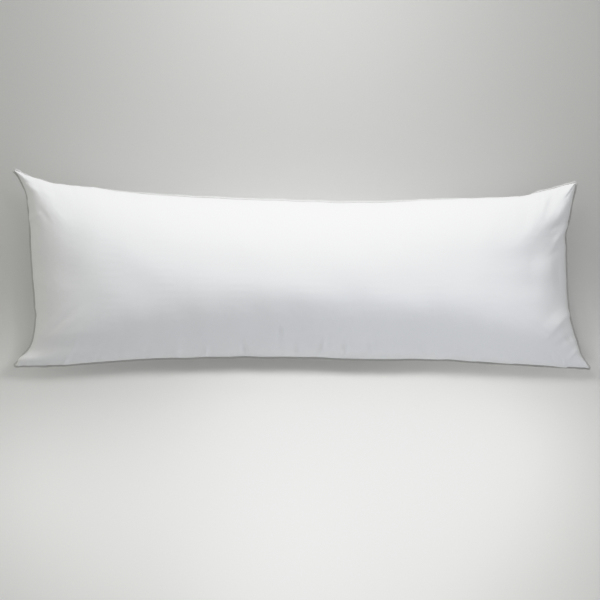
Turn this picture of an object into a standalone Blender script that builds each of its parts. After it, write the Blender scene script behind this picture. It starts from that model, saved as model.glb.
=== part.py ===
"""A body pillow lying on its back: one stuffed pillow of two cotton panels, and the corded edge sewn round its seam.

Metres. +X runs along the pillow, +Y towards its far long side and +Z up. The origin is on the surface that
the pillow lies on, under its middle. The body is one grid for each panel, shaped by the functions below and
welded along the seam, and the corded edge is a tube that follows the same seam.
"""

import math

import bmesh
import bpy
from mathutils import Vector

CELLS_ALONG = 68
CELLS_ACROSS = 34
CROWDING = 0.75  # how far the grid's lines crowd towards the seam, from 0, even, to 1

CORD_RADIUS = 0.00225
CORD_GAP = 0.0003  # between the corded edge and the body
CORD_SIDES_RESOLUTION = 2
WELD = 0.0001  # the two panels' rims are joined within this distance
TIP_PASSES = 3  # how often the seam is averaged, which rounds the tips of the ears

# Sections across the pillow. along runs from 0 at the left ears to 1 at the right ones, far_y and near_y are the
# seams' places, far_z and near_z their heights, and crown and belly are how far the panels stand out from them.
SECTION_COLUMNS = ("along", "far_y", "near_y", "far_z", "near_z", "crown", "belly")
SECTIONS = (
    (0.000, 0.231, -0.222, 0.104, 0.092, 0.100, 0.094),
    (0.031, 0.210, -0.220, 0.108, 0.100, 0.103, 0.103),
    (0.066, 0.196, -0.217, 0.110, 0.106, 0.110, 0.117),
    (0.140, 0.184, -0.210, 0.112, 0.110, 0.121, 0.130),
    (0.225, 0.172, -0.203, 0.112, 0.111, 0.129, 0.137),
    (0.340, 0.163, -0.198, 0.112, 0.112, 0.134, 0.140),
    (0.500, 0.155, -0.199, 0.112, 0.112, 0.137, 0.141),
    (0.615, 0.151, -0.205, 0.112, 0.112, 0.136, 0.141),
    (0.740, 0.157, -0.205, 0.112, 0.111, 0.133, 0.139),
    (0.830, 0.160, -0.211, 0.111, 0.109, 0.128, 0.136),
    (0.905, 0.165, -0.216, 0.111, 0.105, 0.120, 0.128),
    (0.935, 0.176, -0.219, 0.112, 0.102, 0.114, 0.120),
    (0.970, 0.187, -0.222, 0.114, 0.096, 0.106, 0.108),
    (1.000, 0.199, -0.228, 0.115, 0.090, 0.100, 0.098),
)
# The two end seams. across runs from 0 at the near ears to 1 at the far ones. The waves are how far the seam
# stands above or below the straight line between its ears.
END_COLUMNS = ("across", "left_x", "right_x", "left_wave", "right_wave")
ENDS = (
    (0.000, -0.661, 0.6645, 0.000, 0.000),
    (0.035, -0.646, 0.651, 0.002, 0.002),
    (0.100, -0.620, 0.637, 0.006, 0.006),
    (0.160, -0.613, 0.629, 0.007, 0.008),
    (0.240, -0.611, 0.619, 0.005, 0.007),
    (0.330, -0.613, 0.612, 0.002, 0.003),
    (0.450, -0.617, 0.610, 0.001, -0.003),
    (0.570, -0.622, 0.609, 0.002, -0.004),
    (0.680, -0.624, 0.608, 0.004, -0.001),
    (0.735, -0.625, 0.605, 0.004, 0.003),
    (0.790, -0.627, 0.614, 0.004, 0.004),
    (0.880, -0.633, 0.620, 0.003, 0.003),
    (0.945, -0.646, 0.627, 0.001, 0.001),
    (1.000, -0.665, 0.632, 0.000, 0.000),
)

END_ROUNDNESS = 0.034  # how gently a panel rises from an end seam: it is at two thirds of its crown this far in
SIDE_FULLNESS = 2.2  # the section's exponent: 2 is an ellipse, and more is a boxier one
CORNER_BLEND = 2.5  # how sharply the end's rise and the side's rise meet: more is sharper
EAR_REACH = 0.085  # how far in from its tip an ear is thinner
EAR_THINNING = 0.45
FLOOR_SOFTNESS = 0.007  # the belly curves up off the surface over this height

# Folds, as ridges and, below 0, troughs along a line on a panel. face is 1 on top and -1 underneath, width is
# across the whole fold, and each fold dies out at both of its ends.
FOLD_COLUMNS = ("face", "from_x", "from_y", "to_x", "to_y", "width", "height")
FOLDS = (
    (1, -0.672, 0.238, -0.548, 0.092, 0.064, 0.011),  # the ridge of the far left ear
    (1, -0.640, 0.184, -0.570, 0.080, 0.050, -0.006),
    (1, -0.612, 0.030, -0.560, -0.010, 0.050, -0.005),
    (1, -0.650, -0.206, -0.560, -0.160, 0.044, -0.007),
    (1, -0.655, -0.219, -0.585, -0.205, 0.024, 0.005),
    (1, 0.640, 0.206, 0.545, 0.140, 0.056, 0.008),  # the ridge of the far right ear
    (1, 0.630, 0.122, 0.545, 0.072, 0.050, -0.013),  # the fold under it
    (1, 0.626, 0.076, 0.556, 0.032, 0.048, 0.012),
    (1, 0.612, 0.040, 0.566, -0.020, 0.060, -0.006),
    (1, 0.625, -0.070, 0.560, -0.128, 0.044, -0.006),
    (1, 0.632, -0.112, 0.545, -0.174, 0.056, 0.009),  # the two folds of the near right ear
    (1, 0.634, -0.140, 0.568, -0.180, 0.040, -0.004),
    (1, 0.648, -0.170, 0.568, -0.200, 0.044, 0.006),
    (-1, -0.665, 0.226, -0.548, 0.108, 0.064, 0.010),
    (-1, -0.615, 0.060, -0.555, 0.020, 0.056, -0.009),
    (-1, -0.655, -0.212, -0.550, -0.120, 0.064, 0.009),
    (-1, 0.635, 0.190, 0.540, 0.104, 0.064, 0.009),
    (-1, 0.612, 0.030, 0.545, -0.014, 0.056, -0.010),
    (-1, 0.655, -0.218, 0.556, -0.130, 0.064, 0.009),
)
FOLD_FADE = 0.016  # folds die out this near the seam

COTTON = (0.86, 0.87, 0.88, 1.0)
CORD_COTTON = (0.84, 0.85, 0.86, 1.0)


def clear_scene():
    for obj in list(bpy.data.objects):
        bpy.data.objects.remove(obj, do_unlink=True)


def column(rows, columns, name):
    """One named column of a table."""
    place = columns.index(name)
    return [row[place] for row in rows]


def read_smoothly(stations, values, at):
    """The value at a place between a table's stations, on a smooth curve through its rows."""
    last = len(stations) - 1
    row = max(k for k in range(last) if stations[k] <= at or k == 0)

    def slope(k):
        before, after = max(k - 1, 0), min(k + 1, last)
        return (values[after] - values[before]) / (stations[after] - stations[before])

    step = stations[row + 1] - stations[row]
    t = (at - stations[row]) / step
    rise = values[row + 1] - values[row]
    start, end = slope(row) * step, slope(row + 1) * step
    return values[row] + t * (start + t * (3 * rise - 2 * start - end + t * (start + end - 2 * rise)))


def section(name, along):
    stations = column(SECTIONS, SECTION_COLUMNS, "along")
    return read_smoothly(stations, column(SECTIONS, SECTION_COLUMNS, name), along)


def end_seam(name, across):
    stations = column(ENDS, END_COLUMNS, "across")
    return read_smoothly(stations, column(ENDS, END_COLUMNS, name), across)


def grid_share(line, cells):
    """Where a grid line lies, from 0 to 1, with the lines crowded towards the seams."""
    t = 2 * line / cells - 1
    return (1 + (1 - CROWDING) * t + CROWDING * math.sin(math.pi / 2 * t)) / 2


def long_seam(side, line):
    """A point of the far or near seam, at a grid line along the pillow."""
    along = grid_share(line, CELLS_ALONG)
    corner = 1.0 if side == "far" else 0.0
    left, right = end_seam("left_x", corner), end_seam("right_x", corner)
    return Vector((left + along * (right - left), section(side + "_y", along), section(side + "_z", along)))


def short_seam(side, line):
    """A point of the left or right seam, at a grid line across the pillow."""
    across = grid_share(line, CELLS_ACROSS)
    corner = 0.0 if side == "left" else 1.0
    near, far = (Vector((section(n + "_y", corner), section(n + "_z", corner))) for n in ("near", "far"))
    y, z = near.lerp(far, across)
    return Vector((end_seam(side + "_x", across), y, z + end_seam(side + "_wave", across)))


def rounded(loop):
    """The closed seam with its sharp tips averaged into small rounds."""
    for _ in range(TIP_PASSES):
        loop = [(loop[k - 1] + 2 * loop[k] + loop[(k + 1) % len(loop)]) / 4 for k in range(len(loop))]
    return loop


def seam_loop():
    """The whole seam, counter-clockwise from above, one point for each grid line that meets it."""
    near = [long_seam("near", i) for i in range(CELLS_ALONG)]
    right = [short_seam("right", j) for j in range(CELLS_ACROSS)]
    far = [long_seam("far", i) for i in range(CELLS_ALONG, 0, -1)]
    left = [short_seam("left", j) for j in range(CELLS_ACROSS, 0, -1)]
    return rounded(near + right + far + left)


def seam_sides(loop):
    """The loop cut into its four sides, each with both of its corners, running along +X or +Y."""
    a, b = CELLS_ALONG, CELLS_ACROSS
    near = loop[: a + 1]
    right = loop[a : a + b + 1]
    far = loop[a + b : 2 * a + b + 1][::-1]
    left = (loop[2 * a + b :] + loop[:1])[::-1]
    return {"near": near, "right": right, "far": far, "left": left}


def between_seams(sides, i, j):
    """The point of the seam's own surface at a grid crossing, blended from the four sides."""
    s, t = grid_share(i, CELLS_ALONG), grid_share(j, CELLS_ACROSS)
    near, far, left, right = (sides[n] for n in ("near", "far", "left", "right"))
    across = near[i].lerp(far[i], t)
    along = left[j].lerp(right[j], s)
    corners = near[0].lerp(far[0], t).lerp(near[-1].lerp(far[-1], t), s)
    return across + along - corners


def side_wall(t):
    """The section's rise, from 0 at either long seam to 1 in the middle."""
    v = abs(2 * t - 1)
    return math.sqrt(max(0.0, 1 - v**SIDE_FULLNESS))


def end_wall(distance):
    """The rise of the end, steep at its seam and then ever gentler towards 1."""
    return 1 - math.exp(-math.sqrt(max(0.0, distance) / END_ROUNDNESS))


def corner_of(side, end):
    """Both rises at once: each alone where the other is 1, and less than either near an ear."""
    if side <= 0 or end <= 0:
        return 0.0
    return (side**-CORNER_BLEND + end**-CORNER_BLEND - 1) ** (-1 / CORNER_BLEND)


def ear_share(point, corners):
    """How full the pillow is near its ears, where the filling doesn't reach."""
    nearest = min((point - corner).length for corner in corners)
    return 1 - EAR_THINNING * math.exp(-((nearest / EAR_REACH) ** 2))


def off_the_floor(z):
    """The height, flat where the belly would sink into the surface, with a soft start."""
    if z >= FLOOR_SOFTNESS:
        return z
    if z <= -FLOOR_SOFTNESS:
        return 0.0
    return (z + FLOOR_SOFTNESS) ** 2 / (4 * FLOOR_SOFTNESS)


def body_point(sides, i, j, face):
    """The place of a grid crossing on the top panel, face 1, or on the bottom one, face -1."""
    s, t = grid_share(i, CELLS_ALONG), grid_share(j, CELLS_ACROSS)
    point = between_seams(sides, i, j)
    if i in (0, CELLS_ALONG) or j in (0, CELLS_ACROSS):
        return point
    corners = [sides[n][k] for n in ("near", "far") for k in (0, -1)]
    to_end = min(point.x - sides["left"][j].x, sides["right"][j].x - point.x)
    fullness = corner_of(side_wall(t), end_wall(to_end)) * ear_share(point, corners)
    if face > 0:
        point.z += section("crown", s) * fullness
    else:
        point.z = off_the_floor(point.z - section("belly", s) * fullness)
    return point


def fold_height(point, face, to_seam):
    """How far the folds lift a point of a panel, or let it sink."""
    total = 0.0
    for fold in (dict(zip(FOLD_COLUMNS, row)) for row in FOLDS):
        if fold["face"] != face:
            continue
        start = Vector((fold["from_x"], fold["from_y"]))
        run = Vector((fold["to_x"], fold["to_y"])) - start
        offset = point.xy - start
        share = offset.dot(run) / run.length_squared
        sideways = (offset - run * share).length / (fold["width"] / 2)
        if 0 < share < 1 and sideways < 1:
            total += fold["height"] * math.sin(math.pi * share) * (1 - sideways**2) ** 2
    return total * min(1.0, to_seam / FOLD_FADE)


def pillow_body(sides):
    """Both panels as grids, welded along the seam, with the folds raised along their faces."""
    bm = bmesh.new()
    bmesh.ops.create_grid(bm, x_segments=CELLS_ALONG, y_segments=CELLS_ACROSS, size=1.0)
    top = list(bm.verts)
    copied = bmesh.ops.duplicate(bm, geom=bm.verts[:] + bm.edges[:] + bm.faces[:])["geom"]
    bottom = [e for e in copied if isinstance(e, bmesh.types.BMVert)]
    bmesh.ops.reverse_faces(bm, faces=[e for e in copied if isinstance(e, bmesh.types.BMFace)])
    for face, panel in ((1, top), (-1, bottom)):
        for vert in panel:
            i = round((vert.co.x + 1) / 2 * CELLS_ALONG)
            j = round((vert.co.y + 1) / 2 * CELLS_ACROSS)
            vert.co = body_point(sides, i, j, face)
    bm.normal_update()
    rim = [point for side in sides.values() for point in side]
    for face, panel in ((1, top), (-1, bottom)):
        for vert in panel:
            to_seam = min((vert.co - point).length for point in rim)
            vert.co += vert.normal * fold_height(vert.co, face, to_seam)
            vert.co.z = max(0.0, vert.co.z)
    bmesh.ops.remove_doubles(bm, verts=bm.verts[:], dist=WELD)
    mesh = bpy.data.meshes.new("pillow_body")
    bm.to_mesh(mesh)
    bm.free()
    mesh.shade_smooth()
    return bpy.data.objects.new("pillow_body", mesh)


def corded_edge(loop):
    """The cord in its cotton sleeve, all round the pillow, just outside the seam."""
    curve = bpy.data.curves.new("corded_edge", "CURVE")
    curve.dimensions = "3D"
    curve.twist_mode = "Z_UP"
    curve.bevel_depth = CORD_RADIUS
    curve.bevel_resolution = CORD_SIDES_RESOLUTION
    spline = curve.splines.new("POLY")
    spline.points.add(len(loop) - 1)
    spline.use_cyclic_u = True
    for k, point in enumerate(loop):
        heading = loop[(k + 1) % len(loop)] - loop[k - 1]
        outwards = Vector((heading.y, -heading.x, 0)).normalized()
        spline.points[k].co = (*(point + outwards * (CORD_RADIUS + CORD_GAP)), 1)
    return bpy.data.objects.new("corded_edge", curve)


def finish(obj, name, colour, roughness):
    material = bpy.data.materials.new(name)
    material.use_nodes = True
    shader = material.node_tree.nodes["Principled BSDF"]
    shader.inputs["Base Color"].default_value = colour
    shader.inputs["Roughness"].default_value = roughness
    shader.inputs["Metallic"].default_value = 0.0
    obj.data.materials.append(material)


def main():
    clear_scene()
    parts = bpy.data.collections.new("body_pillow")
    bpy.context.scene.collection.children.link(parts)
    loop = seam_loop()
    body = pillow_body(seam_sides(loop))
    edge = corded_edge(loop)
    finish(body, "cotton_cover", COTTON, 0.75)
    finish(edge, "cotton_cord", CORD_COTTON, 0.80)
    for obj in (body, edge):
        parts.objects.link(obj)


main()
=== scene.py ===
"""A white body pillow on its back: its stuffed cotton cover and the corded edge round its seam.

It lies on a pale studio floor. Lengths are in metres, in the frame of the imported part: +X runs along the
pillow, +Y towards its far long side and +Z up.
"""

import math

import bmesh
import bpy
import numpy as np
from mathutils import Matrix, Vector


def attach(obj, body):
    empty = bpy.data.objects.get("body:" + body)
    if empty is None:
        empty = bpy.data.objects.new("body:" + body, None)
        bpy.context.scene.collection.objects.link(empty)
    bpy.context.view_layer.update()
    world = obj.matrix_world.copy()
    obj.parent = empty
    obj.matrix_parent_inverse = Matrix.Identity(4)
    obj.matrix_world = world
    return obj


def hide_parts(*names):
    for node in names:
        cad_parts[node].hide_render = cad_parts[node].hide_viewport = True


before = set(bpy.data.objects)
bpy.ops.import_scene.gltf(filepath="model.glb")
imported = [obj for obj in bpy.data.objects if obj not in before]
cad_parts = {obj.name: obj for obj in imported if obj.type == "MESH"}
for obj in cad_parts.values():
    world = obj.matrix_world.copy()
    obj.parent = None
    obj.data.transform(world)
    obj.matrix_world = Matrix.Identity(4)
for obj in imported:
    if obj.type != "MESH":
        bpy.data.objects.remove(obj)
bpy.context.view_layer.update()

# ---------------------------------------------------------------- the seam

# Sections across the pillow, as in the part's source but with the near seam up to 5 mm further out. along
# runs from 0 at the left ears to 1 at the right ones, far_y and near_y are the seams' places, far_z and
# near_z their heights, and crown and belly are how far the panels stand out from them.
SECTION_COLUMNS = ("along", "far_y", "near_y", "far_z", "near_z", "crown", "belly")
SECTIONS = (
    (0.000, 0.231, -0.222, 0.104, 0.092, 0.100, 0.094),
    (0.031, 0.210, -0.2215, 0.108, 0.100, 0.103, 0.103),
    (0.066, 0.196, -0.2215, 0.110, 0.106, 0.110, 0.117),
    (0.140, 0.184, -0.2150, 0.112, 0.110, 0.121, 0.130),
    (0.225, 0.172, -0.2072, 0.112, 0.111, 0.129, 0.137),
    (0.340, 0.163, -0.2028, 0.112, 0.112, 0.134, 0.140),
    (0.500, 0.155, -0.2030, 0.112, 0.112, 0.137, 0.141),
    (0.615, 0.151, -0.2078, 0.112, 0.112, 0.136, 0.141),
    (0.740, 0.157, -0.2080, 0.112, 0.111, 0.133, 0.139),
    (0.830, 0.160, -0.2150, 0.111, 0.109, 0.128, 0.136),
    (0.905, 0.165, -0.2205, 0.111, 0.105, 0.120, 0.128),
    (0.935, 0.176, -0.2235, 0.112, 0.102, 0.114, 0.120),
    (0.970, 0.187, -0.2245, 0.114, 0.096, 0.106, 0.108),
    (1.000, 0.199, -0.228, 0.115, 0.090, 0.100, 0.098),
)

# The two end seams. across runs from 0 at the near ears to 1 at the far ones. The waves are how far the
# seam stands above or below the straight line between its ears.
END_COLUMNS = ("across", "left_x", "right_x", "left_wave", "right_wave")
ENDS = (
    (0.000, -0.661, 0.6645, 0.000, 0.000),
    (0.035, -0.646, 0.651, 0.002, 0.002),
    (0.100, -0.620, 0.637, 0.006, 0.006),
    (0.160, -0.613, 0.629, 0.007, 0.008),
    (0.240, -0.611, 0.619, 0.005, 0.007),
    (0.330, -0.613, 0.612, 0.002, 0.003),
    (0.450, -0.617, 0.610, 0.001, -0.003),
    (0.570, -0.622, 0.609, 0.002, -0.004),
    (0.680, -0.624, 0.608, 0.004, -0.001),
    (0.735, -0.625, 0.605, 0.004, 0.003),
    (0.790, -0.627, 0.614, 0.004, 0.004),
    (0.880, -0.633, 0.620, 0.003, 0.003),
    (0.945, -0.646, 0.627, 0.001, 0.001),
    (1.000, -0.665, 0.632, 0.000, 0.000),
)

END_ROUNDNESS = 0.034  # how far in from its end seams the dome takes to rise
SIDE_FULLNESS = 2.2  # 2 gives the dome an elliptical section, and more a squarer one
CORNER_BLEND = 2.5
EAR_REACH = 0.085
EAR_THINNING = 0.45  # how much of the dome's height is missing at the ears' tips

# ---------------------------------------------------------------- the cover's cloth

CELLS_ALONG = 180
CELLS_ACROSS = 68
START_CROWDING = 0.85  # how far the grid's lines crowd towards the seam in the dome, from 0, even, to 1
CUT_CROWDING = 0.45  # and in the cut panels
TIP_PASSES = 7  # how often the seam is averaged, which rounds the tips of the ears
PANEL_LENGTH = 1.356  # each panel as it was cut, inside its seams
PANEL_WIDTH = 0.476
CUT_HEIGHT = 0.11  # where the cut panels lie before they are stuffed
CUT_GAP = 0.0003  # and how far each lies from that, away from the other one
WELD = 0.0001

STUFFING_FRAMES = 25
STUFFING_PRESSURE = 10.0
CLOTH_CLEARANCE = 0.002  # the cloth keeps this far off the floor it is stuffed on
MOVE_LIMIT = 0.030  # no point of the cover moves further than this from its start
LYING_HEIGHT = 0.0002  # the lowest that any of the finished cover lies

# Where the seam stands out a little from its smooth line, or, below 0, is drawn in.
BUMP_COLUMNS = ("x", "y", "width", "out")
SEAM_BUMPS = (
    (-0.607, 0.206, 0.012, 0.0016),
    (-0.574, 0.193, 0.010, -0.0012),
    (-0.480, 0.190, 0.014, 0.0012),
    (-0.610, -0.106, 0.010, -0.0024),
    (0.518, 0.168, 0.018, -0.0018),
    (0.605, 0.078, 0.012, -0.0024),
    (0.634, -0.164, 0.008, 0.0018),
    (0.643, -0.196, 0.007, -0.0012),
)
SEAM_WOBBLE = 0.00022  # how far the seam strays all round
WOBBLE_WAVES = 14
WOBBLE_COUNTS = (8, 70)  # each wave repeats this often on its way round, 8 times or more and under 70

# Folds, as ridges and, below 0, troughs. face is 1 on top and -1 underneath, bow is how far a fold's middle
# stands to the left of the straight line, left and right are its widths on either side, softness runs from
# near 0 for a sharp crease to 1 for a round one, and peak is how far along it is highest.
FOLD_COLUMNS = (
    "face", "from_x", "from_y", "to_x", "to_y", "bow", "left", "right", "height", "softness", "peak",
)
FOLDS = (
    # the far left ear
    (1, -0.661, 0.228, -0.547, 0.102, 0.005, 0.050, 0.034, 0.0022, 0.5, 0.40),
    (1, -0.606, 0.147, -0.565, 0.089, 0.000, 0.010, 0.010, -0.0010, 0.6, 0.50),
    (1, -0.572, 0.140, -0.522, 0.083, 0.000, 0.010, 0.014, 0.0005, 0.5, 0.45),
    (1, -0.637, 0.194, -0.594, 0.170, 0.000, 0.008, 0.008, 0.0008, 0.3, 0.60),
    # the near left ear
    (1, -0.645, -0.186, -0.380, -0.176, 0.000, 0.030, 0.020, -0.0065, 0.3, 0.35),
    (1, -0.660, -0.211, -0.430, -0.204, 0.000, 0.019, 0.009, 0.0066, 0.3, 0.18),
    (1, -0.657, -0.220, -0.589, -0.216, 0.000, 0.005, 0.005, 0.0010, 0.3, 0.40),
    (1, -0.645, -0.206, -0.601, -0.204, 0.000, 0.006, 0.005, 0.0008, 0.3, 0.50),
    # the far right ear
    (1, 0.634, 0.186, 0.561, 0.085, -0.002, 0.026, 0.034, 0.0036, 0.30, 0.50),
    (1, 0.628, 0.196, 0.602, 0.160, 0.000, 0.008, 0.007, 0.0018, 0.5, 0.50),
    (1, 0.589, 0.186, 0.543, 0.091, 0.000, 0.012, 0.012, -0.0012, 0.6, 0.50),
    (1, 0.559, 0.178, 0.543, 0.101, 0.000, 0.014, 0.010, 0.0012, 0.4, 0.30),
    # puckers out of the right seam
    (1, 0.614, 0.118, 0.557, 0.075, 0.000, 0.009, 0.014, -0.0030, 0.15, 0.45),
    (1, 0.612, 0.108, 0.566, 0.040, 0.000, 0.010, 0.012, 0.0046, 0.15, 0.35),
    (1, 0.608, 0.064, 0.556, 0.018, 0.000, 0.014, 0.007, -0.0018, 0.3, 0.40),
    # the drawn-in right end
    (1, 0.569, 0.054, 0.576, -0.082, -0.012, 0.026, 0.045, 0.0040, 0.5, 0.50),
    # the near right ear
    (1, 0.617, -0.098, 0.534, -0.182, 0.000, 0.010, 0.032, 0.0042, 0.30, 0.30),
    (1, 0.626, -0.148, 0.566, -0.190, 0.000, 0.014, 0.010, -0.0034, 0.25, 0.30),
    (1, 0.638, -0.180, 0.600, -0.217, 0.000, 0.006, 0.010, 0.0026, 0.2, 0.40),
    # puckers out of the near seam
    (1, -0.218, -0.204, -0.217, -0.165, 0.000, 0.006, 0.007, 0.0026, 0.3, 0.30),
    (1, -0.129, -0.204, -0.136, -0.150, 0.000, 0.006, 0.006, -0.0046, 0.3, 0.35),
    (1, -0.052, -0.180, -0.045, -0.122, 0.000, 0.006, 0.006, -0.0042, 0.3, 0.50),
    (1, -0.009, -0.202, -0.008, -0.166, 0.000, 0.005, 0.006, 0.0036, 0.3, 0.40),
    (1, 0.039, -0.204, 0.054, -0.155, 0.000, 0.005, 0.006, 0.0046, 0.3, 0.40),
    (1, 0.100, -0.206, 0.101, -0.157, 0.000, 0.006, 0.005, 0.0040, 0.3, 0.40),
    (1, 0.157, -0.206, 0.153, -0.153, 0.000, 0.006, 0.005, 0.0036, 0.3, 0.40),
    (1, 0.280, -0.208, 0.266, -0.162, 0.000, 0.007, 0.006, -0.0024, 0.3, 0.35),
    (1, 0.350, -0.210, 0.358, -0.170, 0.000, 0.006, 0.006, 0.0024, 0.3, 0.35),
    # underneath
    (-1, -0.665, 0.226, -0.548, 0.108, 0.000, 0.028, 0.028, 0.0060, 0.5, 0.45),
    (-1, -0.615, 0.060, -0.555, 0.020, 0.000, 0.025, 0.025, -0.0040, 0.5, 0.50),
    (-1, -0.655, -0.212, -0.550, -0.120, 0.000, 0.028, 0.028, 0.0060, 0.5, 0.45),
    (-1, 0.635, 0.190, 0.540, 0.104, 0.000, 0.028, 0.028, 0.0060, 0.5, 0.45),
    (-1, 0.612, 0.030, 0.545, -0.014, 0.000, 0.025, 0.025, -0.0050, 0.5, 0.50),
    (-1, 0.655, -0.218, 0.556, -0.130, 0.000, 0.028, 0.028, 0.0060, 0.5, 0.45),
)
FOLD_FADE = 0.005  # folds die out this near the seam
FOLD_EASE = 1.5  # how gently a fold rises at its foot and its ends

# Small puckers that run in from the seam all round. Each range is the least and the most of a random draw.
PUCKER_PITCH = 0.026  # one small pucker about this often
PUCKER_HEIGHT_TOP = 0.0014
PUCKER_HEIGHT_BELOW = 0.0020
PUCKER_SHARES = {"far": 0.7, "near": 1.8, "right": 0.6, "left": 1.3}  # of those heights, on each side
PUCKER_PLACES = (0.1, 0.9)
PUCKER_SLANTS = (-0.35, 0.35)
PUCKER_WIDTHS = (0.0045, 0.0085)
PUCKER_REACHES = (0.006, 0.020)
PUCKER_RISES = (-0.8, 1.2)
UNDULATIONS = 8  # broad waves of the filling
UNDULATION_LENGTHS = (0.09, 0.22)
UNDULATION_SLOPE = 0.008
UNDULATION_FADE = 0.05

# ---------------------------------------------------------------- the corded edge

CORD_RADIUS = 0.0020
CORD_DRAWN_IN = 0.30  # how far the sleeve narrows past the cord's roundness on its way into the seam
CORD_GAP = 0.0002
CORD_DROOP = 35  # degrees that the sleeve hangs down from the seam
CORD_STEPS = 2600  # rings of the cord's sleeve, round the whole pillow
CORD_SIDES = 14
CORD_PASSES = 5  # how often the cord's path is averaged
CORD_WELD = 0.00001
GATHER_PITCH = 0.0052
GATHER_HEIGHT = 0.00016
SLACK_GATHERS = 2.7  # a second run of gathers, this many times as far apart
SLACK_SHARE = 0.6  # and this share of their height

# ---------------------------------------------------------------- the view and the light

CAMERA_TARGET = (-0.0034, -0.0720, 0.112)
CAMERA_ELEVATION = 86.5
CAMERA_DISTANCE = 5.0
CAMERA_LENS = 130.7
CAMERA_SENSOR = 36.0
TONE_WHITE = 2.2  # the brightest light that the view's tone curve reads
TONE_STEPS = 30
SHOULDER_START = 0.78  # light above this is softly held back
SHOULDER_HEIGHT = 0.18
SHOULDER_WIDTH = 0.35
ROOM_LIGHT = 0.480
ROOM_LEAN = 0.52  # how much more of the room's light comes from behind than from the front, from 0 to 1
DAYLIGHT = (1.0, 1.0, 1.0)
WARM_SIDE = (0.98, 0.98, 0.86)  # the colour of the room's light from the left
KEY_LIGHT = (0.970, 0.982, 1.0)
COOL_LIGHT = (0.84, 0.88, 1.0)
WARM_LIGHT = (1.0, 1.0, 0.96)
FLOOR_SIZE = 12.0
FLOOR_DROP = -0.0005
FLOOR_GREY = (0.78, 0.782, 0.772, 1.0)

# The lights are round. spread is in degrees, and reaches names what each one lights.
LIGHT_COLUMNS = ("name", "place", "aim", "size", "power", "spread", "colour", "reaches")
LIGHTS = (
    ("grazing_key", (0.05, 0.89, 0.634), (0.0, 0.0, 0.18), 0.50, 9.6, 180, KEY_LIGHT, "pillow and cord"),
    ("front_fill", (0.40, -0.90, 1.222), (0.12, 0.0, 0.15), 0.80, 5.1, 180, COOL_LIGHT, "pillow"),
    ("left_bounce", (-1.3, -0.1, 0.3), (-0.5, 0.0, 0.15), 0.50, 0.36, 180, WARM_LIGHT, "pillow"),
    ("overhead", (0.0, 0.08, 1.25), (0.0, -0.66, 0.0), 0.22, 2.0, 76, DAYLIGHT, "floor"),
    ("overhead_left", (-0.24, 0.0, 1.25), (-0.44, -0.80, 0.0), 0.22, 0.25, 66, DAYLIGHT, "floor"),
    ("overhead_right", (0.34, 0.0, 1.25), (0.34, -0.80, 0.0), 0.22, 0.64, 70, DAYLIGHT, "floor"),
    ("front_left", (-0.66, -0.54, 0.90), (-0.66, -0.50, 0.0), 0.22, 0.12, 50, DAYLIGHT, "floor"),
    ("front_right", (0.50, -0.46, 0.90), (0.50, -0.38, 0.0), 0.22, 0.11, 50, DAYLIGHT, "floor"),
    ("back_wash", (0.0, 0.95, 1.50), (0.0, 0.76, 0.0), 0.60, 1.15, 60, DAYLIGHT, "floor"),
)


def column(rows, columns, name):
    place = columns.index(name)
    return [row[place] for row in rows]


def records(rows, columns):
    """Each row of a table as its columns' names and values."""
    return [dict(zip(columns, row)) for row in rows]


def read_smoothly(stations, values, at):
    """The value at a place between a table's stations, on a smooth curve through its rows."""
    last = len(stations) - 1
    row = max(k for k in range(last) if stations[k] <= at or k == 0)

    def slope(k):
        before, after = max(k - 1, 0), min(k + 1, last)
        return (values[after] - values[before]) / (stations[after] - stations[before])

    step = stations[row + 1] - stations[row]
    t = (at - stations[row]) / step
    rise = values[row + 1] - values[row]
    start, end = slope(row) * step, slope(row + 1) * step
    bend = 3 * rise - 2 * start - end + t * (start + end - 2 * rise)
    return values[row] + t * (start + t * bend)


def section(name, along):
    stations = column(SECTIONS, SECTION_COLUMNS, "along")
    return read_smoothly(stations, column(SECTIONS, SECTION_COLUMNS, name), along)


def end_seam(name, across):
    stations = column(ENDS, END_COLUMNS, "across")
    return read_smoothly(stations, column(ENDS, END_COLUMNS, name), across)


def line_share(line, cells, crowding):
    """Where a grid line lies, from 0 to 1, with the lines crowded towards both seams."""
    t = 2 * line / cells - 1
    return (1 + (1 - crowding) * t + crowding * math.sin(math.pi / 2 * t)) / 2


def long_seam(side, along):
    corner = 1.0 if side == "far" else 0.0
    left, right = end_seam("left_x", corner), end_seam("right_x", corner)
    x = left + along * (right - left)
    return Vector((x, section(side + "_y", along), section(side + "_z", along)))


def short_seam(side, across):
    corner = 0.0 if side == "left" else 1.0
    near = Vector((section("near_y", corner), section("near_z", corner)))
    far = Vector((section("far_y", corner), section("far_z", corner)))
    y, z = near.lerp(far, across)
    return Vector((end_seam(side + "_x", across), y, z + end_seam(side + "_wave", across)))


def sewn_along(points, cells):
    """The same stretch of seam, with its points where the cut panel's grid lines are sewn to it."""
    points = np.array([tuple(p) for p in points])
    reach = np.concatenate([[0], np.cumsum(np.linalg.norm(np.diff(points, axis=0), axis=1))])
    places = [reach[-1] * line_share(k, cells, CUT_CROWDING) for k in range(cells + 1)]
    return [Vector([np.interp(s, reach, points[:, axis]) for axis in range(3)]) for s in places]


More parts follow.
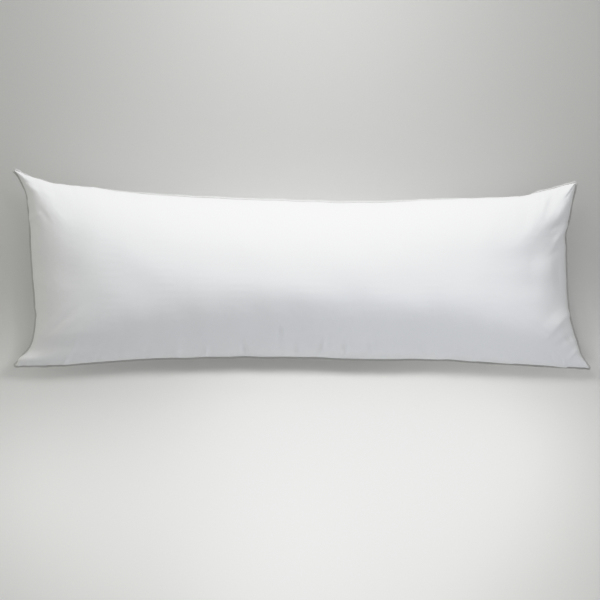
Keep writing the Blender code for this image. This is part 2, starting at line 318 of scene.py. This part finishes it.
def uneven(loop):
    """The seam's line with its small bumps, and the slight wandering of any sewn edge."""
    chance = np.random.default_rng(5)
    waves = []
    for _ in range(WOBBLE_WAVES):
        count = chance.integers(*WOBBLE_COUNTS)
        phase = chance.uniform(0, 2 * math.pi)
        waves.append((count, phase, chance.uniform(-1, 1)))
    strayed = []
    for k, point in enumerate(loop):
        heading = loop[(k + 1) % len(loop)] - loop[k - 1]
        outwards = Vector((heading.y, -heading.x, 0)).normalized()
        turn = 2 * math.pi * k / len(loop)
        out = SEAM_WOBBLE * sum(size * math.sin(count * turn + phase) for count, phase, size in waves)
        up = SEAM_WOBBLE * sum(size * math.cos(count * turn - phase) for count, phase, size in waves)
        for bump in records(SEAM_BUMPS, BUMP_COLUMNS):
            away = math.hypot(point.x - bump["x"], point.y - bump["y"]) / bump["width"]
            out += bump["out"] * math.exp(-(away**2))
        strayed.append(point + outwards * out + Vector((0, 0, up)))
    return strayed


def seam_sides():
    """The four sides of the seam, each with both of its corners and running along +X or +Y."""
    a, b = CELLS_ALONG, CELLS_ACROSS
    along = [line_share(i, a, START_CROWDING) for i in range(a + 1)]
    across = [line_share(j, b, START_CROWDING) for j in range(b + 1)]
    near = [long_seam("near", s) for s in along[:-1]]
    right = [short_seam("right", t) for t in across[:-1]]
    far = [long_seam("far", s) for s in along[:0:-1]]
    left = [short_seam("left", t) for t in across[:0:-1]]
    loop = near + right + far + left
    for _ in range(TIP_PASSES):
        after = loop[1:] + loop[:1]
        loop = [(loop[k - 1] + 2 * loop[k] + after[k]) / 4 for k in range(len(loop))]
    loop = uneven(loop)
    return {
        "near": loop[: a + 1],
        "right": loop[a : a + b + 1],
        "far": loop[a + b : 2 * a + b + 1][::-1],
        "left": (loop[2 * a + b :] + loop[:1])[::-1],
    }


def side_wall(t):
    return math.sqrt(max(0.0, 1 - abs(2 * t - 1) ** SIDE_FULLNESS))


def end_wall(distance):
    return 1 - math.exp(-math.sqrt(max(0.0, distance) / END_ROUNDNESS))


def corner_of(side, end):
    if side <= 0 or end <= 0:
        return 0.0
    return (side**-CORNER_BLEND + end**-CORNER_BLEND - 1) ** (-1 / CORNER_BLEND)


def domed(sides, i, j, face):
    """Where a crossing of the grid starts, on the top panel, face 1, or the bottom one, face -1."""
    s = line_share(i, CELLS_ALONG, START_CROWDING)
    t = line_share(j, CELLS_ACROSS, START_CROWDING)
    near, far, left, right = (sides[n] for n in ("near", "far", "left", "right"))
    corners = near[0].lerp(far[0], t).lerp(near[-1].lerp(far[-1], t), s)
    point = near[i].lerp(far[i], t) + left[j].lerp(right[j], s) - corners
    to_end = min(point.x - left[j].x, right[j].x - point.x)
    nearest = min((point - side[k]).length for side in (near, far) for k in (0, -1))
    fullness = corner_of(side_wall(t), end_wall(to_end))
    fullness *= 1 - EAR_THINNING * math.exp(-((nearest / EAR_REACH) ** 2))
    if face > 0:
        point.z += section("crown", s) * fullness
    else:
        point.z = max(0.0, point.z - section("belly", s) * fullness)
    return point


def cut_place(i, j):
    """Where a crossing of the grid lies on the flat panel, from the panel's middle."""
    return (
        PANEL_LENGTH * (line_share(i, CELLS_ALONG, CUT_CROWDING) - 0.5),
        PANEL_WIDTH * (line_share(j, CELLS_ACROSS, CUT_CROWDING) - 0.5),
    )


def cover_panels(sides):
    """Both panels as grids, each laid out as it was cut in the UV map, domed, and welded along the seam."""
    cells = {"near": CELLS_ALONG, "far": CELLS_ALONG, "left": CELLS_ACROSS, "right": CELLS_ACROSS}
    sewn = {side: sewn_along(sides[side], cells[side]) for side in sides}
    bm = bmesh.new()
    cut = bm.loops.layers.uv.new("cut")
    crease = bm.edges.layers.float.new("crease_edge")
    rest = bm.verts.layers.float_vector.new("rest")
    bmesh.ops.create_grid(bm, x_segments=CELLS_ALONG, y_segments=CELLS_ACROSS, size=1.0)
    flat = {}
    for vert in bm.verts:
        i = round((vert.co.x + 1) / 2 * CELLS_ALONG)
        j = round((vert.co.y + 1) / 2 * CELLS_ACROSS)
        flat[vert] = (i, j)
    for quad in bm.faces:
        for corner in quad.loops:
            corner[cut].uv = cut_place(*flat[corner.vert])
    top = list(bm.verts)
    copied = bmesh.ops.duplicate(bm, geom=bm.verts[:] + bm.edges[:] + bm.faces[:])
    bottom = {copied["vert_map"][vert]: flat[vert] for vert in top}
    turned = [part for part in copied["geom"] if isinstance(part, bmesh.types.BMFace)]
    bmesh.ops.reverse_faces(bm, faces=turned)
    for edge in bm.edges:
        edge[crease] = 1.0 if edge.is_boundary else 0.0
    for face, panel in ((1, flat), (-1, bottom)):
        for vert, (i, j) in panel.items():
            on_rim = i in (0, CELLS_ALONG) or j in (0, CELLS_ACROSS)
            vert[rest] = (*cut_place(i, j), CUT_HEIGHT + (0 if on_rim else CUT_GAP * face))
            if j in (0, CELLS_ACROSS):
                vert.co = sewn["near" if j == 0 else "far"][i]
            elif i in (0, CELLS_ALONG):
                vert.co = sewn["left" if i == 0 else "right"][j]
            else:
                vert.co = domed(sides, i, j, face)
    bmesh.ops.remove_doubles(bm, verts=bm.verts[:], dist=WELD)
    bmesh.ops.recalc_face_normals(bm, faces=bm.faces[:])
    mesh = bpy.data.meshes.new("stuffed_cover")
    bm.to_mesh(mesh)
    bm.free()
    return mesh


def read(items, name):
    """The vectors of a mesh's items, one to a row."""
    values = np.empty(len(items) * 3)
    items.foreach_get(name, values)
    return values.reshape(-1, 3)


def flat_ground(name, cells, size, height):
    bm = bmesh.new()
    bmesh.ops.create_grid(bm, x_segments=cells, y_segments=cells, size=size)
    mesh = bpy.data.meshes.new(name)
    bm.to_mesh(mesh)
    bm.free()
    ground = bpy.data.objects.new(name, mesh)
    ground.location.z = height
    bpy.context.scene.collection.objects.link(ground)
    return ground


def as_cotton(cloth):
    """A plain cotton that barely stretches and bends softly, blown up from inside without weight."""
    cotton = cloth.settings
    cotton.quality = 6
    cotton.mass = 0.02
    cotton.tension_stiffness = 40
    cotton.compression_stiffness = 10
    cotton.shear_stiffness = 5
    cotton.bending_stiffness = 0.5
    cotton.tension_damping = cotton.compression_damping = cotton.shear_damping = 10
    cotton.bending_damping = 1
    cotton.air_damping = 2
    cotton.use_pressure = True
    cotton.uniform_pressure_force = STUFFING_PRESSURE
    cotton.vertex_group_mass = "seam"
    cotton.pin_stiffness = 1
    cotton.effector_weights.gravity = 0.0
    cloth.collision_settings.distance_min = 0.001


def stuffed(mesh):
    """The cover as its filling swells it, held along its seam and lying on the floor."""
    pillow = bpy.data.objects.new("stuffing", mesh)
    bpy.context.scene.collection.objects.link(pillow)
    floor = flat_ground("stuffing_floor", 2, 2.0, -CLOTH_CLEARANCE)
    start = read(mesh.vertices, "co")
    rest = read(mesh.attributes["rest"].data, "vector")
    creased = mesh.attributes["crease_edge"].data
    rim = sorted({v for edge in mesh.edges if creased[edge.index].value > 0.5 for v in edge.vertices})
    pillow.vertex_groups.new(name="seam").add(rim, 1.0, "REPLACE")
    pillow.shape_key_add(name="Basis")
    as_cut = pillow.shape_key_add(name="as_cut")
    as_cut.data.foreach_set("co", rest.ravel())
    as_cut.value = 0.0
    floor.modifiers.new("floor", "COLLISION")
    floor.collision.thickness_outer = 0.001
    floor.collision.cloth_friction = 8
    cloth = pillow.modifiers.new("cloth", "CLOTH")
    as_cotton(cloth)
    cloth.settings.rest_shape_key = as_cut
    cloth.point_cache.frame_start = 1
    cloth.point_cache.frame_end = STUFFING_FRAMES
    for now in range(1, STUFFING_FRAMES + 1):
        bpy.context.scene.frame_set(now)
    evaluated = pillow.evaluated_get(bpy.context.evaluated_depsgraph_get())
    moved = read(evaluated.data.vertices, "co") - start
    length = np.linalg.norm(moved, axis=1, keepdims=True)
    ended = start + moved * np.minimum(1.0, MOVE_LIMIT / np.maximum(length, 1e-9))
    bpy.context.scene.frame_set(1)
    pillow.shape_key_clear()
    bpy.data.objects.remove(pillow)
    bpy.data.objects.remove(floor)
    mesh.vertices.foreach_set("co", ended.ravel())
    mesh.update()
    return mesh


def subdivided(mesh):
    """The mesh with one round of subdivision applied."""
    holder = bpy.data.objects.new("subdividing", mesh)
    bpy.context.scene.collection.objects.link(holder)
    rounds = holder.modifiers.new("rounds", "SUBSURF")
    rounds.levels = rounds.render_levels = 1
    evaluated = holder.evaluated_get(bpy.context.evaluated_depsgraph_get())
    finished = bpy.data.meshes.new_from_object(evaluated)
    bpy.data.objects.remove(holder)
    return finished


def fold_relief(points, face, to_seam):
    """How far the folds lift each point, or let it sink."""
    total = np.zeros(len(points))
    for fold in records(FOLDS, FOLD_COLUMNS):
        start = np.array((fold["from_x"], fold["from_y"]))
        run = np.array((fold["to_x"], fold["to_y"])) - start
        length = np.linalg.norm(run)
        ahead = run / length
        offset = points[:, :2] - start
        share = offset @ ahead / length
        bow = fold["bow"] * np.sin(np.pi * np.clip(share, 0, 1))
        aside = offset @ np.array((-ahead[1], ahead[0])) - bow
        s = np.clip(np.where(aside > 0, aside / fold["left"], -aside / fold["right"]), 0, 1)
        soft = fold["softness"]
        fall = (np.sqrt(s**2 + soft**2) - soft) / (math.sqrt(1 + soft**2) - soft)
        stretched = np.clip(share, 0, 1) ** (math.log(0.5) / math.log(fold["peak"]))
        swell = np.sin(np.pi * stretched) ** FOLD_EASE
        total += np.where(face == fold["face"], fold["height"] * (1 - fall) ** FOLD_EASE * swell, 0)
    return total * np.minimum(1.0, to_seam / FOLD_FADE)


def pucker_relief(rest, face):
    """Small puckers that run in from the seam all round, and a faint unevenness of the filling."""
    chance = np.random.default_rng(11)
    total = np.zeros(len(rest))
    u, v = rest[:, 0], rest[:, 1]
    sides = (
        (u, PANEL_WIDTH / 2 - v, PANEL_LENGTH, PUCKER_SHARES["far"]),
        (u, PANEL_WIDTH / 2 + v, PANEL_LENGTH, PUCKER_SHARES["near"]),
        (v, PANEL_LENGTH / 2 - u, PANEL_WIDTH, PUCKER_SHARES["right"]),
        (v, PANEL_LENGTH / 2 + u, PANEL_WIDTH, PUCKER_SHARES["left"]),
    )
    for panel, height in ((1, PUCKER_HEIGHT_TOP), (-1, PUCKER_HEIGHT_BELOW)):
        for along, inwards, length, strength in sides:
            inwards = np.maximum(inwards, 0)
            for k in range(round(length / PUCKER_PITCH)):
                middle = ((k + chance.uniform(*PUCKER_PLACES)) * PUCKER_PITCH) - length / 2
                slant = chance.uniform(*PUCKER_SLANTS)
                width = chance.uniform(*PUCKER_WIDTHS)
                reach = chance.uniform(*PUCKER_REACHES)
                rise = chance.uniform(*PUCKER_RISES) * height * strength
                across = np.exp(-(((along - middle - slant * inwards) / width) ** 2))
                lengthwise = inwards / reach * np.exp(1 - inwards / reach)
                total += np.where(face == panel, rise * across * lengthwise, 0)
    rim = np.minimum(PANEL_LENGTH / 2 - np.abs(u), PANEL_WIDTH / 2 - np.abs(v))
    for _ in range(UNDULATIONS):
        heading = chance.uniform(0, math.pi)
        wave = chance.uniform(*UNDULATION_LENGTHS)
        phase = chance.uniform(0, 2 * math.pi)
        ahead = u * math.cos(heading) + v * math.sin(heading)
        ripple = np.sin(2 * np.pi * ahead / wave + phase + (face > 0))
        total += UNDULATION_SLOPE * wave / (2 * math.pi) * ripple * np.clip(rim / UNDULATION_FADE, 0, 1)
    return total


def cover():
    """The finished cover: stuffed, subdivided, then creased."""
    mesh = cover_panels(seam_sides())
    mesh = stuffed(mesh)
    mesh = subdivided(mesh)
    points = read(mesh.vertices, "co")
    normals = read(mesh.vertex_normals, "vector")
    rest = read(mesh.attributes["rest"].data, "vector")
    face = np.where(rest[:, 2] >= CUT_HEIGHT, 1, -1)
    to_end, to_side = PANEL_LENGTH / 2 - np.abs(rest[:, 0]), PANEL_WIDTH / 2 - np.abs(rest[:, 1])
    to_seam = np.maximum(np.minimum(to_end, to_side), 0)
    lift = fold_relief(points, face, to_seam) + pucker_relief(rest, face)
    points = points + normals * lift[:, None]
    points[:, 2] = np.maximum(points[:, 2], LYING_HEIGHT)
    mesh.vertices.foreach_set("co", points.ravel())
    mesh.update()
    mesh.shade_smooth()
    return mesh


def smooth_loop(points, steps):
    """A closed run of points read evenly on a smooth curve through them."""
    points = np.array([tuple(p) for p in points])
    closed = np.vstack([points, points[:1]])
    reach = np.concatenate([[0], np.cumsum(np.linalg.norm(np.diff(closed, axis=0), axis=1))])
    places = np.linspace(0, reach[-1], steps, endpoint=False)
    loop = np.stack([np.interp(places, reach, closed[:, axis]) for axis in range(3)], axis=1)
    for _ in range(CORD_PASSES):
        loop = (np.roll(loop, 1, axis=0) + 2 * loop + np.roll(loop, -1, axis=0)) / 4
    return loop, reach[-1]


def cord_sleeve(sides):
    """The cord in its gathered sleeve, drawn in to the seam line on its inner side."""
    loop = sides["near"][:-1] + sides["right"][:-1] + sides["far"][:0:-1] + sides["left"][:0:-1]
    path, length = smooth_loop(loop, CORD_STEPS)
    heading = np.roll(path, -1, axis=0) - np.roll(path, 1, axis=0)
    heading /= np.linalg.norm(heading, axis=1, keepdims=True)
    outwards = np.stack([heading[:, 1], -heading[:, 0], np.zeros(len(path))], axis=1)
    outwards /= np.linalg.norm(outwards, axis=1, keepdims=True)
    upwards = np.cross(outwards, heading)
    droop = math.radians(CORD_DROOP)
    outwards, upwards = (
        outwards * math.cos(droop) - upwards * math.sin(droop),
        outwards * math.sin(droop) + upwards * math.cos(droop),
    )
    middle = path + outwards * (CORD_RADIUS * (1 + CORD_DRAWN_IN) + CORD_GAP)
    bm = bmesh.new()
    sleeve = bm.loops.layers.uv.new("sleeve")
    bmesh.ops.create_grid(bm, x_segments=CORD_STEPS, y_segments=CORD_SIDES, size=1.0)
    place = {}
    for vert in bm.verts:
        k = round((vert.co.x + 1) / 2 * CORD_STEPS)
        place[vert] = (k, round((vert.co.y + 1) / 2 * CORD_SIDES))
    for quad in bm.faces:
        for corner in quad.loops:
            k, side = place[corner.vert]
            corner[sleeve].uv = (length * k / CORD_STEPS, 2 * math.pi * CORD_RADIUS * side / CORD_SIDES)
    gathers = round(length / GATHER_PITCH)
    slack_gathers = round(length / GATHER_PITCH / SLACK_GATHERS)
    for vert, (k, side) in place.items():
        angle = 2 * math.pi * side / CORD_SIDES
        wave = math.sin(2 * math.pi * gathers * k / CORD_STEPS + 2 * angle)
        wave += SLACK_SHARE * math.sin(2 * math.pi * slack_gathers * k / CORD_STEPS - angle)
        drawn = CORD_DRAWN_IN * max(0.0, -math.cos(angle)) ** 3
        radius = CORD_RADIUS * (1 + drawn) + GATHER_HEIGHT * wave
        ring = k % CORD_STEPS
        around = outwards[ring] * math.cos(angle) + upwards[ring] * math.sin(angle)
        vert.co = middle[ring] + radius * around
    bmesh.ops.remove_doubles(bm, verts=bm.verts[:], dist=CORD_WELD)
    bmesh.ops.recalc_face_normals(bm, faces=bm.faces[:])
    mesh = bpy.data.meshes.new("corded_sleeve")
    bm.to_mesh(mesh)
    bm.free()
    mesh.shade_smooth()
    return mesh


# ---------------------------------------------------------------- shader maths


class Shade:
    """A socket that can be used in expressions, each of which adds its Math nodes."""

    def __init__(self, tree, socket):
        self.tree, self.socket = tree, socket

    def maths(self, operation, *values):
        return node(self.tree, "ShaderNodeMath", {"operation": operation}, *values)

    def __add__(self, other):
        return self.maths("ADD", self, other)

    def __sub__(self, other):
        return self.maths("SUBTRACT", self, other)

    def __mul__(self, other):
        return self.maths("MULTIPLY", self, other)

    def __truediv__(self, other):
        return self.maths("DIVIDE", self, other)

    def __radd__(self, other):
        return self.maths("ADD", other, self)

    def __rsub__(self, other):
        return self.maths("SUBTRACT", other, self)

    def __rmul__(self, other):
        return self.maths("MULTIPLY", other, self)

    def __abs__(self):
        return self.maths("ABSOLUTE", self)

    def sin(self):
        return self.maths("SINE", self)

    def above(self, other):
        return self.maths("GREATER_THAN", self, other)

    def least(self, other):
        return self.maths("MINIMUM", self, other)

    def most(self, other):
        return self.maths("MAXIMUM", self, other)


def put(tree, socket, value):
    if isinstance(value, Shade):
        tree.links.new(value.socket, socket)
    else:
        socket.default_value = value


def node(tree, kind, settings, *values, output=0, **named):
    """One new node: its settings first, then its sockets in order, or by name. Gives one of its outputs."""
    made = tree.nodes.new(kind)
    for name, value in settings.items():
        setattr(made, name, value)
    for socket, value in zip(made.inputs, values):
        put(tree, socket, value)
    for name, value in named.items():
        found = [s for s in made.inputs if name in (s.identifier, s.name.replace(" ", "_"))]
        put(tree, found[0], value)
    outputs = {s.identifier: s for s in made.outputs}
    return Shade(tree, outputs[output] if isinstance(output, str) else made.outputs[output])


def blend(tree, share, first, second):
    """Two colours mixed by a share of the second."""
    sockets = {"Factor_Float": share, "A_Color": first, "B_Color": second}
    return node(tree, "ShaderNodeMix", {"data_type": "RGBA"}, output="Result_Color", **sockets)


def axes(tree, vector):
    split = tree.nodes.new("ShaderNodeSeparateXYZ")
    put(tree, split.inputs[0], vector)
    return [Shade(tree, socket) for socket in split.outputs]


def cloudy(tree, vector, scale, detail=2.0, roughness=0.5):
    """Soft noise from 0 to 1, scale times a metre."""
    sockets = {"Vector": vector, "Scale": scale, "Detail": detail, "Roughness": roughness}
    return node(tree, "ShaderNodeTexNoise", {}, **sockets)


def streaky(tree, vector, along, across):
    """The same, drawn out by a scale of its own each way."""
    stretched = node(tree, "ShaderNodeMapping", {}, Vector=vector, Scale=(along, across, 1.0))
    return cloudy(tree, stretched, 1.0)


def give_relief(tree, shader, height):
    """A height in metres as the surface's fine relief."""
    bump = node(tree, "ShaderNodeBump", {}, Strength=1.0, Distance=1.0, Height=height)
    put(tree, shader.inputs["Normal"], bump)


def new_material(name):
    material = bpy.data.materials.new(name)
    material.use_nodes = True
    tree = material.node_tree
    return material, tree, tree.nodes["Principled BSDF"]


THREAD_PITCH = 0.00045
THREAD_DEPTH = 0.00003
SLUB_DEPTH = 0.00003
CRUMPLE_DEPTH = 0.00012
PATCH_DEPTH = 0.0002
STITCH_PITCH = 0.0032
STITCH_DEPTH = 0.0003
STITCH_INSET = 0.0026  # from the seam to the row of stitches
STITCH_WIDTH = 0.0012
HANDLED_WIDTH = 0.030  # how far in from the seam the cotton is a little greyer
WHITE = (0.875, 0.878, 0.882, 1.0)
SHADED_WHITE = (0.835, 0.842, 0.85, 1.0)
HANDLED_WHITE = (0.80, 0.80, 0.79, 1.0)
# Painted shade: the cord's white cotton is given a mid grey, much darker than the cover, which stands in
# for the line of shade along the seam's edge. Its worn patches are darker again.
CORD_GREY_PAINTED_SHADE = (0.60, 0.60, 0.59, 1.0)
WORN_CORD_GREY_PAINTED_SHADE = (0.50, 0.50, 0.49, 1.0)


def plain_weave(u, v, pitch):
    """Threads that pass over and under each other, as a height from 0 to 1."""
    warp = (u * (math.pi / pitch)).sin()
    weft = (v * (math.pi / pitch)).sin()
    over = (warp * weft).above(0.0)
    return abs(warp) * over + abs(weft) * (1 - over)


def cotton_cover():
    material, tree, shader = new_material("white_cotton_percale")
    cut = node(tree, "ShaderNodeUVMap", {"uv_map": "cut"})
    place = node(tree, "ShaderNodeTexCoord", {}, output="Object")
    u, v, _ = axes(tree, cut)
    edge = (PANEL_LENGTH / 2 - abs(u)).least(PANEL_WIDTH / 2 - abs(v))
    near_seam = (1 - edge / HANDLED_WIDTH).most(0.0)
    by_long_seam = (PANEL_LENGTH / 2 - abs(u)).above(PANEL_WIDTH / 2 - abs(v))
    along_seam = u * by_long_seam + v * (1 - by_long_seam)
    stitch_row = (1 - abs(edge - STITCH_INSET) / STITCH_WIDTH).most(0.0)
    stitches = (along_seam * (2 * math.pi / STITCH_PITCH)).sin().most(0.0) * stitch_row
    weave = plain_weave(u, v, THREAD_PITCH)
    slubs = streaky(tree, cut, 60.0, 900.0)
    slubs_across = streaky(tree, cut, 900.0, 60.0)
    crumple = cloudy(tree, place, 55.0, 3.0, 0.55)
    broad = cloudy(tree, place, 7.0)
    tone = blend(tree, broad * 0.6 + slubs * 0.2 + slubs_across * 0.2, WHITE, SHADED_WHITE)
    worn = blend(tree, near_seam * cloudy(tree, place, 90.0) * 0.8, tone, HANDLED_WHITE)
    put(tree, shader.inputs["Base Color"], worn)
    put(tree, shader.inputs["Roughness"], 0.78 + 0.10 * slubs)
    shader.inputs["Sheen Weight"].default_value = 0.12
    shader.inputs["Sheen Roughness"].default_value = 0.45
    shader.inputs["Specular IOR Level"].default_value = 0.25
    cloth = THREAD_DEPTH * weave + SLUB_DEPTH * (slubs + slubs_across) + CRUMPLE_DEPTH * crumple
    give_relief(tree, shader, cloth - STITCH_DEPTH * stitches)
    return material


def cotton_cord():
    material, tree, shader = new_material("white_cotton_cord_sleeve")
    sleeve = node(tree, "ShaderNodeUVMap", {"uv_map": "sleeve"})
    u, v, _ = axes(tree, sleeve)
    weave = plain_weave(u + v, u - v, THREAD_PITCH)
    patchy = streaky(tree, sleeve, 120.0, 300.0)
    # painted shade: the cord's grey base colour stands in for the shade along the seam, with darker worn
    # patches at random
    put(tree, shader.inputs["Base Color"], blend(tree, patchy * 0.6, CORD_GREY_PAINTED_SHADE, WORN_CORD_GREY_PAINTED_SHADE))
    put(tree, shader.inputs["Roughness"], 0.80 + 0.10 * patchy)
    shader.inputs["Sheen Weight"].default_value = 0.10
    shader.inputs["Specular IOR Level"].default_value = 0.25
    give_relief(tree, shader, THREAD_DEPTH * weave + PATCH_DEPTH * patchy)
    return material


def add_piece(name, mesh, material, cad_node):
    piece = bpy.data.objects.new(name, mesh)
    bpy.context.scene.collection.objects.link(piece)
    mesh.materials.clear()
    mesh.materials.append(material)
    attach(piece, "root")
    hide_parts(cad_node)
    return piece


pillow = add_piece("stuffed_cover", cover(), cotton_cover(), "pillow_body")
sleeve_mesh = cord_sleeve(seam_sides())
cord = add_piece("corded_sleeve", sleeve_mesh, cotton_cord(), "corded_edge")

# ---------------------------------------------------------------- floor, light, camera


def studio_floor():
    floor = flat_ground("studio_floor", 1, FLOOR_SIZE, FLOOR_DROP)
    material, _, shader = new_material("pale_studio_floor")
    shader.inputs["Base Color"].default_value = FLOOR_GREY
    shader.inputs["Roughness"].default_value = 0.9
    shader.inputs["Specular IOR Level"].default_value = 0.1
    floor.data.materials.append(material)
    return floor


def soft_light(name, place, aim, size, power, spread, colour, reaches):
    light = bpy.data.lights.new(name, "AREA")
    light.shape = "DISK"
    light.size = size
    light.energy = power
    light.color = colour
    light.spread = math.radians(spread)
    obj = bpy.data.objects.new(name, light)
    obj.location = place
    obj.rotation_mode = "QUATERNION"
    obj.rotation_quaternion = (Vector(aim) - Vector(place)).to_track_quat("-Z", "Y")
    bpy.context.scene.collection.objects.link(obj)
    lit = bpy.data.collections.new(name + "_lights")
    for thing in reaches:
        lit.objects.link(thing)
    obj.light_linking.receiver_collection = lit


def soft_room():
    """Light from all round, dimmer from the front than from behind the pillow and warmer on its left."""
    world = bpy.data.worlds.new("soft_room")
    bpy.context.scene.world = world
    world.use_nodes = True
    tree = world.node_tree
    right, back, _ = axes(tree, node(tree, "ShaderNodeTexCoord", {}, output="Generated"))
    dimmed = (1 - ROOM_LEAN) / (1 + ROOM_LEAN)
    background = tree.nodes["Background"]
    even, warm = (
        blend(tree, 0.5 + 0.5 * back, (*(part * dimmed for part in light), 1.0), (*light, 1.0))
        for light in (DAYLIGHT, WARM_SIDE)
    )
    put(tree, background.inputs["Color"], blend(tree, 0.0 - right, even, warm))
    background.inputs["Strength"].default_value = ROOM_LIGHT * (1 + ROOM_LEAN)


def set_camera():
    data = bpy.data.cameras.new("camera")
    data.lens = CAMERA_LENS
    data.sensor_width = CAMERA_SENSOR
    camera = bpy.data.objects.new("camera", data)
    raised = math.radians(CAMERA_ELEVATION)
    back = Vector((0.0, -math.cos(raised), math.sin(raised)))
    camera.location = Vector(CAMERA_TARGET) + back * CAMERA_DISTANCE
    camera.rotation_mode = "QUATERNION"
    camera.rotation_quaternion = (-back).to_track_quat("-Z", "Y")
    bpy.context.scene.collection.objects.link(camera)
    bpy.context.scene.camera = camera


def held_back(light):
    if light < SHOULDER_START:
        return light
    beyond = (SHOULDER_START - light) / SHOULDER_WIDTH
    return SHOULDER_START + SHOULDER_HEIGHT * (1 - math.exp(beyond))


def soften_highlights():
    """A camera's gentle shoulder, so that white cotton in full light keeps its shape."""
    settings = bpy.context.scene.view_settings
    settings.view_transform = "Standard"
    settings.use_curve_mapping = True
    mapping = settings.curve_mapping
    mapping.white_level = (TONE_WHITE,) * 3
    curve = mapping.curves[3]
    for step in range(1, TONE_STEPS):
        light = TONE_WHITE * step / TONE_STEPS
        curve.points.new(light / TONE_WHITE, held_back(light))
    curve.points[-1].location = (1.0, held_back(TONE_WHITE))
    mapping.update()


floor = studio_floor()
reached = {"pillow and cord": (pillow, cord), "pillow": (pillow,), "floor": (floor,)}
for light in records(LIGHTS, LIGHT_COLUMNS):
    light["reaches"] = reached[light["reaches"]]
    soft_light(**light)
soft_room()
set_camera()
soften_highlights()
